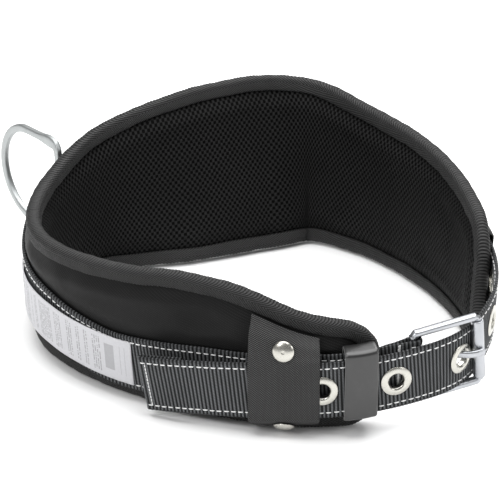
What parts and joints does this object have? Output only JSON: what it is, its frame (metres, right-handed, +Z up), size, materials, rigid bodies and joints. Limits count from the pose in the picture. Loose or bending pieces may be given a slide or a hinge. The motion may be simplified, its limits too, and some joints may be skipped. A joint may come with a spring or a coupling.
{
  "type": "padded tool belt",
  "caption": "Padded waist belt with a webbing strap, roller buckle, keeper loop, snap wrap and a side D-ring, closed in a loop.",
  "frame": {"origin": "centre of the belt's box in plan, on the surface that it stands on", "axes": "+X towards the wearer's right as seen from the front, +Y from the buckle side to the back, +Z up"},
  "size_m": [0.3708, 0.342, 0.134],
  "materials": {
    "foam": "matte closed-cell foam",
    "mesh_lining": "black spacer mesh",
    "pad_shell": "black coated nylon",
    "binding": "black woven binding tape",
    "webbing": "charcoal ribbed webbing with white stitching",
    "nickel": "polished nickel plate",
    "label": "off-white coated label",
    "sleeve": "black coated nylon",
    "wrap": "black ballistic nylon",
    "keeper_leather": "black satin leather",
    "buckle_steel": "satin zinc plate",
    "thread": "white polyester thread",
    "ring_steel": "zinc plated forged steel"
  },
  "bodies": {
    "belt": {"pad_foam": "foam", "pad_lining": "mesh_lining", "pad_shell": "pad_shell", "pad_binding": "binding", "main_strap": "webbing", "grommet_1": "nickel", "grommet_2": "nickel", "grommet_3": "nickel", "grommet_4": "nickel", "grommet_5": "nickel", "grommet_washer_1": "nickel", "grommet_washer_2": "nickel", "grommet_washer_3": "nickel", "grommet_washer_4": "nickel", "grommet_washer_5": "nickel", "snap_stud_upper": "nickel", "snap_stud_lower": "nickel", "care_label": "label", "back_sleeve": "sleeve", "side_sleeve": "sleeve", "wrap_inner_ply": "wrap"},
    "flap": {"wrap_flap": "wrap", "snap_cap_upper": "nickel", "snap_cap_lower": "nickel"},
    "keeper": {"keeper_loop": "keeper_leather"},
    "buckle": {"buckle_frame": "buckle_steel"},
    "roller": {"buckle_roller": "buckle_steel"},
    "tongue": {"buckle_tongue": "buckle_steel"},
    "ring": {"d_ring": "ring_steel"}
  },
  "joints": [
    {"name": "ring_swing", "type": "hinge", "parent": "belt", "child": "ring", "pos_m": [-0.13673, 0.08811, 0.06992], "axis": [-0.0494, 0.0426, 0.9979], "range_deg": [-85, 40]},
    {"name": "buckle_tilt", "type": "hinge", "parent": "belt", "child": "buckle", "pos_m": [0.12083, -0.14437, 0.04618], "axis": [-0.0162, 0.0296, -0.9994], "range_deg": [0, 1.5]},
    {"name": "tongue_swing", "type": "hinge", "parent": "buckle", "child": "tongue", "pos_m": [0.12083, -0.14437, 0.04618], "axis": [-0.0162, 0.0296, -0.9994], "range_deg": [0, 1.5]},
    {"name": "roller_spin", "type": "hinge", "parent": "buckle", "child": "roller", "pos_m": [0.1669, -0.12428, 0.04603], "axis": [0.0162, -0.0296, 0.9994], "continuous": true},
    {"name": "keeper_slide", "type": "slide", "parent": "belt", "child": "keeper", "axis": [-0.985, -0.1724, 0], "range_m": [-0.0024, 0.005]},
    {"name": "wrap_open", "type": "hinge", "parent": "belt", "child": "flap", "pos_m": [0.03038, -0.15533, 0.08446], "axis": [-0.9371, 0.0872, 0.3379], "range_deg": [0, 95]}
  ]
}
